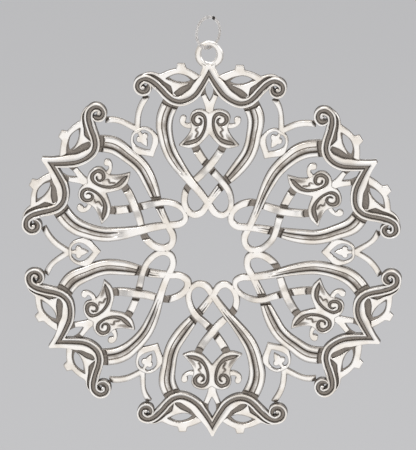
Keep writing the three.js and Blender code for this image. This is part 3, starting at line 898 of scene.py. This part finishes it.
@dataclass
class Eye:
    """Eye at the top: a ring with a rounded square section, on a collar at the point of the bracket."""

    hole_radius: float = 1.7
    wall: float = 1.5
    depth: float = 0.85
    corner: float = 0.42     # rounding of the section's corners
    corner_steps: int = 5
    rise: float = 0.92       # from the point of the arm to the middle of the eye
    steps: int = 96
    bore_turn: int = 15      # degrees between two points of the bore
    hole_sag: float = 0.3    # how far the ring has drawn the hole out downward, on each side of its middle
    rim_sag: float = 0.5     # how far the rim sits lower than a true circle
    point_gap: float = 0.375  # from the drawn-out hole to the point of the bracket
    gusset_top: float = 2.24
    rounding: float = 0.12
    # x, y in squares, then width and top in millimetres
    collar: Sequence[Knot] = (
        (0.0, 94.2, 2.8, 2.24), (0.0, 95.8, 3.0, 2.1), (0.0, 97.2, 3.4, 1.8), (0.0, 98.8, 3.8, 1.5),
    )
    gusset: Runs = (
        ((-5.3, 89.3), (-4.2, 92.2), (-3.3, 94.7), (-3.5, 97.0)),
        ((-3.5, 97.0), (-0.6, 96.4)),
        ((-0.6, 96.4), (-2.4, 92.6), (-5.3, 89.3)),
    )

    def build(self) -> Piece:
        """Spins the ring's section, draws the hole out and lays the collar between two gussets.

        Returns:
            The eye on the bench.
        """
        centre = ARM_LENGTH + self.rise
        radius = self.hole_radius + self.wall / 2
        bpy.ops.mesh.primitive_plane_add(size=self.wall, rotation=(math.pi / 2, 0, 0),
                                         location=(radius, centre, self.depth))
        rim = Bench.name("eye")
        bpy.ops.object.transform_apply(location=True, rotation=True, scale=True)
        with Bench.editing(rim):
            bpy.ops.mesh.bevel(offset=self.corner, segments=self.corner_steps, affect="VERTICES")
            bpy.ops.mesh.select_all(action="SELECT")
            bpy.ops.mesh.delete(type="ONLY_FACE")
            bpy.ops.mesh.select_all(action="SELECT")
            bpy.ops.mesh.spin(steps=self.steps, angle=2 * math.pi, center=(0, centre, 0), axis=(0, 0, 1))
            bpy.ops.mesh.select_all(action="SELECT")
            bpy.ops.mesh.remove_doubles(threshold=Bench.TOUCHING)
        for vertex in rim.data.vertices:
            vertex.co.y += self.sag(vertex.co.x, vertex.co.y - centre)
        collar = Bench.strip("collar", Line(self.collar).stations(), Sections.rounded)
        gussets = Bench.mirror(Bench.plate("gussets", self.gusset, self.gusset_top, self.rounding))
        for piece in (collar, gussets):
            Bench.carve(piece, Bench.punch(self.bore(centre, radius), self.gusset_top))
        for piece in (rim, collar, gussets):
            Bench.stamp(piece, Bench.read(piece)[:, 2])
        Bench.lift_back(collar, Level.COLLAR)
        Bench.lift_back(gussets, Level.GUSSETS)
        return Bench.join("eye", [rim, collar, gussets])

    def clear(self, bracket: Piece) -> None:
        """Files the point of the top bracket back from the hole, and bright.

        Args:
            bracket: The bracket, on the bench.
        """
        places = Bench.read(bracket)
        away = places[:, :2] - (0.0, ARM_LENGTH + self.rise)
        distance = np.hypot(away[:, 0], away[:, 1])
        reach = self.hole_radius + 2 * self.hole_sag + self.point_gap
        places[:, :2] += away * (np.maximum(reach / distance, 1.0) - 1)[:, np.newaxis]
        crests = np.empty(len(places), dtype=np.float32)
        bracket.data.attributes[CREST].data.foreach_get("value", crests)
        Bench.write(bracket, places)
        Bench.stamp(bracket, np.where(distance < reach, places[:, 2], crests))

    def sag(self, x: float, y: float) -> float:
        """How far a point of the rim is moved along the arm, for its place from the middle of the eye."""
        outward = (math.hypot(x, y) - self.hole_radius) / self.wall
        upward = y / math.hypot(x, y)
        return mix(self.hole_sag * (upward - 1), -self.rim_sag, outward)

    def bore(self, centre: float, radius: float) -> Runs:
        """Outline of the bore that clears the collar from the eye's hole.

        Args:
            centre: Middle of the eye along the arm, in millimetres.
            radius: Radius of the middle of its wall.

        Returns:
            One closed run, in squares.
        """
        turns = [math.radians(angle) for angle in range(0, 361, self.bore_turn)]
        places = [(radius * math.cos(turn), radius * math.sin(turn)) for turn in turns]
        return (tuple((x / SQUARE, (centre + y + self.sag(x, y)) / SQUARE) for x, y in places),)


@dataclass
class SplitRing:
    """Ring with a narrow split, for one bent from round wire. Its sizes are in millimetres.

    Known fault: the wire's section is turned into the plane that it is then spun in, so the ring comes out
    as a flat sheet without thickness, and not round.
    """

    outer_diameter: float = 8.0
    wire: float = 0.8
    gap: float = 0.4
    split_angle: float = 30.0
    chamfer: float = 0.08        # of the edges at the cut
    chamfer_steps: int = 3
    chamfer_angle: float = 60.0  # degrees between two faces from which their edge counts as one
    split_shade_reach: float = 0.1        # reach of the painted shade at the cut
    steps: int = 96
    sides: int = 20              # of the wire's section

    def build(self, middle: Vector, axis: Vector) -> Piece:
        """Spins the wire's section round the ring and hangs it in place.

        Args:
            middle: Middle of the ring, in metres.
            axis: Axis of the ring.

        Returns:
            The ring in place.
        """
        radius = (self.outer_diameter - self.wire) / 2
        gap_angle = self.gap / radius
        start = math.pi / 2 - math.radians(self.split_angle) + gap_angle / 2
        bpy.ops.mesh.primitive_circle_add(vertices=self.sides, radius=self.wire / 2, fill_type="NGON",
                                          rotation=(math.pi / 2, 0, 0), location=(radius, 0, 0))
        ring = Bench.name("split_ring_wire")
        bpy.ops.object.transform_apply(location=True, rotation=True, scale=True)
        with Bench.editing(ring):
            bpy.ops.transform.rotate(value=-start, orient_axis="Y", center_override=(0, 0, 0))
            bpy.ops.mesh.spin(steps=self.steps, angle=2 * math.pi - gap_angle, center=(0, 0, 0),
                              axis=(0, -1, 0))
        Bench.apply(ring, "BEVEL", width=self.chamfer, segments=self.chamfer_steps, limit_method="ANGLE",
                    angle_limit=math.radians(self.chamfer_angle))
        split_turn = math.radians(self.split_angle)
        split = radius * Vector((math.sin(split_turn), 0, math.cos(split_turn)))
        split_shade = [(vertex.co - split).length < self.wire / 2 + self.split_shade_reach for vertex in ring.data.vertices]
        # A crest far below all points keeps the patina off, one far above them makes them dark: painted
        # shade at the split
        Bench.stamp(ring, np.where(split_shade, self.outer_diameter, -self.outer_diameter))
        turn = Matrix.Rotation(math.atan2(-axis.x, axis.y), 4, "Z")
        ring.data.transform(Matrix.Translation(middle) @ turn @ Matrix.Scale(METRES, 4))
        return Bench.finish(ring)


class Value:
    """Number in a shader, wrapped so that Python expressions add Math nodes."""

    def __init__(self, nodes: "Nodes", socket: bpy.types.NodeSocket) -> None:
        """Wraps a socket of a node tree."""
        self.nodes = nodes
        self.socket = socket

    def math(self, operation: str, *others: "Value | float") -> "Value":
        """Result of a Math node on this value and the others."""
        return self.nodes.value("ShaderNodeMath", {"operation": operation}, [self, *others])

    def __add__(self, other: "Value | float") -> "Value":
        """Sum."""
        return self.math("ADD", other)

    def __sub__(self, other: "Value | float") -> "Value":
        """Difference."""
        return self.math("SUBTRACT", other)

    def __mul__(self, other: "Value | float") -> "Value":
        """Product."""
        return self.math("MULTIPLY", other)

    def __rsub__(self, other: float) -> "Value":
        """Difference from a number."""
        return self.nodes.value("ShaderNodeMath", {"operation": "SUBTRACT"}, [other, self])

    __radd__ = __add__
    __rmul__ = __mul__

    def step(self, low: float, high: float) -> "Value":
        """Smooth step from 0 at low to 1 at high."""
        return self.nodes.value("ShaderNodeMapRange", {"interpolation_type": "SMOOTHSTEP"},
                                [self, low, high, 0.0, 1.0])


class Nodes:
    """Node tree of one material."""

    def __init__(self, material: bpy.types.Material) -> None:
        """Empties the tree of a material."""
        material.use_nodes = True
        self.tree = material.node_tree
        self.tree.nodes.clear()

    def add(self, kind: str, settings: dict[str, object], values: dict[int | str, object]) -> bpy.types.Node:
        """Adds a node.

        Args:
            kind: Its type.
            settings: Its settings, set first.
            values: The value or link of each named or numbered socket.

        Returns:
            The node.
        """
        node = self.tree.nodes.new(kind)
        for key, setting in settings.items():
            setattr(node, key, setting)
        for key, value in values.items():
            if isinstance(value, Value):
                self.tree.links.new(value.socket, node.inputs[key])
            elif isinstance(value, bpy.types.NodeSocket):
                self.tree.links.new(value, node.inputs[key])
            else:
                node.inputs[key].default_value = value
        return node

    def value(self, kind: str, settings: dict[str, object], values: Sequence[object]) -> Value:
        """Adds a node with the values of its sockets in order, and wraps its first output."""
        return Value(self, self.add(kind, settings, dict(enumerate(values))).outputs[0])

    def blend(self, share: Value, first: object, second: object) -> bpy.types.NodeSocket:
        """Mixes two colours, by the share of the second."""
        return self.add("ShaderNodeMix", {"data_type": "RGBA"}, {0: share, 6: first, 7: second}).outputs[2]


@dataclass(frozen=True)
class Noise:
    """Noise over the object, with scale features to a metre and detail octaves."""

    scale: float
    detail: float

    def build(self, nodes: Nodes, place: bpy.types.NodeSocket) -> Value:
        """Adds the noise, from 0 to 1, at object coordinates."""
        values = {"Vector": place, "Scale": self.scale, "Detail": self.detail}
        return Value(nodes, nodes.add("ShaderNodeTexNoise", {}, values).outputs["Fac"])


@dataclass(frozen=True)
class SilverPlate:
    """Polished silver plate with brown-grey patina left in what the cloth doesn't reach, and darker patina
    with painted shade at the feet of walls, in corners and on outer sides.

    Limits are heights in millimetres, or values of the clouds, between which a smooth step runs.
    """

    name: str
    bright: Colour = (0.93, 0.90, 0.86, 1)
    warm: Colour = (0.86, 0.80, 0.72, 1)
    patina: Colour = (0.360, 0.318, 0.275, 1)
    # darker patina together with painted shade, for the feet of walls, corners and outer sides
    dark: Colour = (0.060, 0.050, 0.042, 1)
    polished: Limits = (0.06, 0.20)    # millimetres below the crest over which the shine ends
    walls: Limits = (0.26, 0.38)       # where the dark line at the foot of a wall begins: darker patina and painted shade
    floors: Limits = (0.42, 0.52)      # where it gives way to the brown of a floor
    sides: Limits = (0.70, 0.86)       # where the dark of corners and outer sides begins: darker patina and painted shade
    back: Limits = (0.09, 0.14)        # height over which the flat back ends
    back_patina: float = 0.40       # share of the patina left on the flat back, 0 on plain wire
    roughness: float = 0.22
    patina_roughness: float = 0.50
    grain_roughness: float = 0.10
    metal: float = 1.0              # how metallic the polished surface is
    metal_loss: float = 0.45        # how much less metallic the patina is
    clouds: Noise = Noise(260.0, 3.0)
    grain: Noise = Noise(2600.0, 4.0)
    scratches: Noise = Noise(5200.0, 2.0)
    cloud_drop: float = 0.16        # millimetres by which the clouds and the grain shift the patina's edges
    grain_drop: float = 0.06
    grain_darkness: float = 0.8
    warm_clouds: Limits = (0.35, 0.70)
    dull_clouds: Limits = (0.45, 0.75)
    dullness: float = 0.10          # share of patina in the dull clouds
    back_clouds: Limits = (0.3, 0.7)
    bump_strength: float = 0.35
    bump_height: float = 0.00002    # in metres
    scratch_bump: float = 0.4
    cloud_bump: float = 1.5

    def build(self, origin: float) -> bpy.types.Material:
        """Makes the material.

        Args:
            origin: Place of the flat back along y, in metres.

        Returns:
            The material.
        """
        material = bpy.data.materials.new(self.name)
        nodes = Nodes(material)
        place = nodes.add("ShaderNodeTexCoord", {}, {}).outputs["Object"]
        apart = nodes.add("ShaderNodeSeparateXYZ", {}, {0: place})
        height = (origin - Value(nodes, apart.outputs[1])) * (1 / METRES)
        crest = Value(nodes, nodes.add("ShaderNodeAttribute", {"attribute_name": CREST}, {}).outputs["Fac"])
        clouds, grain, scratches = (
            noise.build(nodes, place) for noise in (self.clouds, self.grain, self.scratches))
        drop = crest - height + (clouds - 0.5) * self.cloud_drop + (grain - 0.5) * self.grain_drop
        on_back = 1 - height.step(*self.back) if self.back_patina else 0.0
        recess = drop.step(*self.polished) * (1 - on_back)
        # Darker patina with painted shade: a line at the feet of walls, then corners and outer sides
        oxide_and_painted_shade = drop.step(*self.walls) * (1 - drop.step(*self.floors)) + drop.step(*self.sides)
        dulling = (clouds.step(*self.dull_clouds) * self.dullness
                   + on_back * self.back_patina * clouds.step(*self.back_clouds))
        patina = (recess + dulling).math("MINIMUM", 1.0)
        silver = nodes.blend(clouds.step(*self.warm_clouds), self.bright, self.warm)
        oxide_and_painted_shade = (oxide_and_painted_shade + (grain - 0.5) * self.grain_darkness).math("MAXIMUM", 0.0)
        brown = nodes.blend(oxide_and_painted_shade, self.patina, self.dark)
        roughness = (self.roughness + patina * (self.patina_roughness - self.roughness)
                     + (grain - 0.5) * self.grain_roughness)
        bump = nodes.add("ShaderNodeBump", {}, {
            "Strength": self.bump_strength, "Distance": self.bump_height,
            "Height": scratches * self.scratch_bump + clouds * self.cloud_bump})
        shader = nodes.add("ShaderNodeBsdfPrincipled", {}, {
            "Base Color": nodes.blend(patina, silver, brown), "Roughness": roughness,
            "Metallic": self.metal - patina * self.metal_loss, "Normal": bump.outputs[0]})
        nodes.add("ShaderNodeOutputMaterial", {}, {"Surface": shader.outputs[0]})
        return material


@dataclass(frozen=True)
class Lean:
    """How far an arm stands off the even pattern, as a casting finished by hand does.

    Shifts are (sideways to the right, outward), in squares, with the arm seen upright.
    """

    head: tuple[float, float]
    foot: tuple[float, float]


@dataclass(frozen=True)
class HandWork:
    """Small unevenness of the whole casting: leaning arms, and a lower right half of each bracket."""

    # Counter-clockwise from the top arm
    leans: tuple[Lean, ...] = (
        Lean(head=(0.1, -0.1), foot=(-1.6, -0.3)),
        Lean(head=(-0.7, 0.4), foot=(0.0, 1.1)),
        Lean(head=(-1.8, 0.4), foot=(-0.2, 1.6)),
        Lean(head=(1.3, 0.4), foot=(-0.1, -0.7)),
        Lean(head=(-0.1, 0.1), foot=(2.3, 0.4)),
        Lean(head=(2.2, -1.9), foot=(-0.5, -2.4)),
    )
    radial: Limits = (20.0, 80.0)       # distances of the foot and the head, in squares
    right_half: tuple[float, float] = (1.5, -1.0)    # further shift of the right half of a bracket
    right_across: Limits = (2.0, 14.0)  # where that shift sets in, to the right of the arm
    right_out: Limits = (60.0, 75.0)    # and outward
    right_fade: Limits = (22.0, 29.5)   # degrees from the arm over which it fades out

    def shift(self, places: np.ndarray) -> np.ndarray:
        """Shift of points of the ornament.

        Args:
            places: A row (x, y, z) for each point, in millimetres from the middle, seen from the front.

        Returns:
            The shift of each point.
        """
        shifts = np.zeros_like(places)
        radius = np.hypot(places[:, 0], places[:, 1]) / SQUARE
        arms = np.degrees(np.arctan2(-places[:, 0], places[:, 1])) / ARM_TURN
        share = smooth(self.radial, radius)
        for number, lean in enumerate(self.leans):
            away = (arms - number + ARM_COUNT / 2) % ARM_COUNT - ARM_COUNT / 2
            weight = np.where(abs(away) < 1, np.cos(away * math.pi / 2) ** 2, 0.0)
            right = -radius * np.sin(np.radians(away * ARM_TURN))
            outward = radius * np.cos(np.radians(away * ARM_TURN))
            lowered = (smooth(self.right_across, right) * smooth(self.right_out, outward)
                       * (1 - smooth(self.right_fade, abs(away) * ARM_TURN)) * (weight > 0))
            turn = math.radians(number * ARM_TURN)
            cosine, sine = math.cos(turn), math.sin(turn)
            for side, heading in enumerate(((cosine, sine), (-sine, cosine))):
                leaning = weight * mix(lean.foot[side], lean.head[side], share)
                for axis in (0, 1):
                    shifts[:, axis] += (leaning + lowered * self.right_half[side]) * heading[axis]
        return shifts * SQUARE


@dataclass
class Snowflake:
    """The casting: six arms with a heart between each two, and the eye on the top arm."""

    centre: float
    back: float
    bracket: Bracket = field(default_factory=Bracket)
    leaves: Leaves = field(default_factory=Leaves)
    straps: Straps = field(default_factory=Straps)
    palmettes: Palmettes = field(default_factory=Palmettes)
    stalk: Stalk = field(default_factory=Stalk)
    heart: Heart = field(default_factory=Heart)
    eye: Eye = field(default_factory=Eye)
    hand_work: HandWork = HandWork()

    def hang(self, piece: Piece, turn: float) -> None:
        """Turns a piece of the bench to its arm, shifts it by hand and hangs it up.

        Args:
            piece: The piece, in millimetres.
            turn: Degrees that it is turned about the middle of the ornament.
        """
        piece.data.transform(Matrix.Rotation(math.radians(turn), 4, "Z"))
        places = Bench.read(piece)
        Bench.write(piece, places + self.hand_work.shift(places))
        upright = Matrix.Translation((0, self.back, self.centre)) @ Matrix.Rotation(math.pi / 2, 4, "X")
        piece.data.transform(upright @ Matrix.Scale(METRES, 4))

    def build(self, finish: bpy.types.Material) -> None:
        """Models the pieces of every arm and hangs them.

        Args:
            finish: Material of the casting.
        """
        repeated = [Bench.finish(piece) for piece in (
            self.bracket.build(), self.leaves.build(), self.palmettes.build(), self.stalk.build())]
        between = [Bench.finish(piece) for piece in self.heart.build()]
        for arm in range(ARM_COUNT):
            turn = arm * ARM_TURN
            for piece in self.straps.build(arm):
                self.place(Bench.finish(piece), f"{piece.name}_{arm + 1}", turn, finish)
            for piece in repeated:
                twin = self.copy(piece)
                if arm == 0 and piece.name == "bracket":
                    self.eye.clear(twin)
                self.place(twin, f"{piece.name}_{arm + 1}", turn, finish)
            for piece in between:
                self.place(self.copy(piece), f"{piece.name}_{arm + 1}", turn + ARM_TURN / 2, finish)
        for piece in (*repeated, *between):
            bpy.data.objects.remove(piece)
        self.place(Bench.finish(self.eye.build()), "eye", 0.0, finish)

    @staticmethod
    def copy(piece: Piece) -> Piece:
        """Copy of a piece with its own mesh."""
        twin = piece.copy()
        twin.data = piece.data.copy()
        bpy.context.collection.objects.link(twin)
        return twin

    def place(self, piece: Piece, name: str, turn: float, finish: bpy.types.Material) -> None:
        """Hangs a piece in the ornament and hands it over.

        Args:
            piece: The piece on the bench.
            name: Its name.
            turn: Degrees that it is turned about the middle of the ornament.
            finish: Its material.
        """
        piece.name = name
        piece.data.name = name
        self.hang(piece, turn)
        piece.data.materials.clear()
        piece.data.materials.append(finish)
        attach(piece, Body.ORNAMENT.value)
        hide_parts("snowflake_casting")
        log.info("%s: %d vertices", piece.name, len(piece.data.vertices))


@dataclass(frozen=True)
class Lamp:
    """Soft square lamp that faces the ornament; place and side in metres, power in watts."""

    name: str
    place: tuple[float, float, float]
    side: float
    power: float

    def build(self, target: Vector) -> None:
        """Hangs the lamp, turned to a point."""
        light = bpy.data.lights.new(self.name, "AREA")
        light.size = self.side
        light.energy = self.power
        holder = bpy.data.objects.new(self.name, light)
        holder.location = self.place
        holder.rotation_euler = (target - holder.location).to_track_quat("-Z", "Y").to_euler()
        holder.visible_camera = False
        bpy.context.collection.objects.link(holder)


@dataclass
class Studio:
    """Pale floor, soft lamps and the camera. Lengths are metres and angles degrees."""

    floor_height: float = -0.45
    floor_size: float = 14.0
    floor_colour: Colour = (0.53, 0.53, 0.54, 1)
    floor_glow: float = 0.75     # share of the floor's colour that it shows by itself, away from shade
    floor_roughness: float = 0.9
    world_colour: Colour = (0.62, 0.62, 0.63, 1)
    azimuth: float = -3.37
    elevation: float = 14.23
    roll: float = -1.02
    distance: float = 1.045
    target: tuple[float, float, float] = (-0.00078, -0.0008, -0.0486)
    lens: float = 389.9
    sensor: float = 36.0
    reach: float = 20.0          # how far the camera sees
    lamps: tuple[Lamp, ...] = (
        Lamp("key_lamp", (-0.7, -0.9, 1.2), 0.9, 9.0),
        Lamp("side_lamp", (1.2, -0.5, 0.5), 0.8, 4.5),
        Lamp("back_lamp", (0.2, 1.3, 0.9), 0.9, 6.0),
        Lamp("top_lamp", (0.0, 0.6, 1.6), 1.5, 12.0),
        Lamp("front_panel", (0.02, -0.75, -0.24), 0.55, 0.52),
    )

    def build(self) -> None:
        """Sets up the stage."""
        self.add_floor()
        self.add_world()
        for lamp in self.lamps:
            lamp.build(Vector(self.target))
        self.add_camera()
        bpy.context.scene.view_settings.view_transform = "Standard"

    def add_floor(self) -> None:
        """Adds the floor."""
        bpy.ops.mesh.primitive_plane_add(size=self.floor_size, location=(0, 0, self.floor_height))
        floor = Bench.name("floor")
        bpy.ops.object.transform_apply(location=True, rotation=True, scale=True)
        material = bpy.data.materials.new("pale_floor")
        nodes = Nodes(material)
        rays = nodes.add("ShaderNodeLightPath", {}, {}).outputs
        seen = Value(nodes, rays["Is Camera Ray"])
        for ray in ("Is Glossy Ray", "Is Transmission Ray"):
            seen = seen.math("MAXIMUM", Value(nodes, rays[ray]))
        lit = nodes.add("ShaderNodeBsdfPrincipled", {}, {
            "Base Color": self.floor_colour, "Roughness": self.floor_roughness})
        glow = nodes.add("ShaderNodeEmission", {}, {"Color": self.floor_colour})
        shader = nodes.add("ShaderNodeMixShader", {}, {
            0: seen * self.floor_glow, 1: lit.outputs[0], 2: glow.outputs[0]})
        nodes.add("ShaderNodeOutputMaterial", {}, {"Surface": shader.outputs[0]})
        floor.data.materials.append(material)

    def add_world(self) -> None:
        """Fills the world with even light."""
        world = bpy.data.worlds.new("studio")
        bpy.context.scene.world = world
        world.use_nodes = True
        world.node_tree.nodes["Background"].inputs[0].default_value = self.world_colour

    def add_camera(self) -> None:
        """Adds the camera at the photograph's angle."""
        camera = bpy.data.cameras.new("camera")
        camera.lens = self.lens
        camera.sensor_fit = "HORIZONTAL"
        camera.sensor_width = self.sensor
        camera.clip_end = self.reach
        azimuth, elevation = math.radians(self.azimuth), math.radians(self.elevation)
        forward = Vector((math.sin(azimuth) * math.cos(elevation), math.cos(azimuth) * math.cos(elevation),
                          -math.sin(elevation)))
        holder = bpy.data.objects.new("camera", camera)
        bpy.context.collection.objects.link(holder)
        turn = forward.to_track_quat("-Z", "Y").to_matrix().to_4x4()
        roll = Matrix.Rotation(math.radians(self.roll), 4, "Z")
        holder.matrix_world = Matrix.Translation(Vector(self.target) - forward * self.distance) @ turn @ roll
        bpy.context.scene.camera = holder


def main() -> None:
    """Builds the ornament and its studio."""
    logging.basicConfig(level=logging.INFO, format="%(message)s")
    record = frame["record"]
    opening = record["physics"]["openings"][0]["box_m"]
    centre = (opening[0][2] + opening[1][2]) / 2
    back = next(mount for mount in record["mounts"] if mount["name"] == "back_face")["pos_m"][1]
    swing = frame["joints"][0]
    casting_finish = SilverPlate("silver_plate").build(back)
    wire_finish = SilverPlate("bright_wire", bright=(0.99, 0.97, 0.95, 1), warm=(0.96, 0.93, 0.90, 1),
                              back_patina=0.0, metal=0.35, roughness=0.36).build(back)
    Snowflake(centre, back).build(casting_finish)
    ring = SplitRing().build(Vector(swing["pos_m"]), Vector(swing["axis"]))
    ring.data.materials.append(wire_finish)
    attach(ring, Body.RING.value)
    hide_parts("split_ring")
    log.info("%s: %d vertices", ring.name, len(ring.data.vertices))
    Studio().build()
    bpy.context.view_layer.update()


if __name__ == "__main__":
    main()
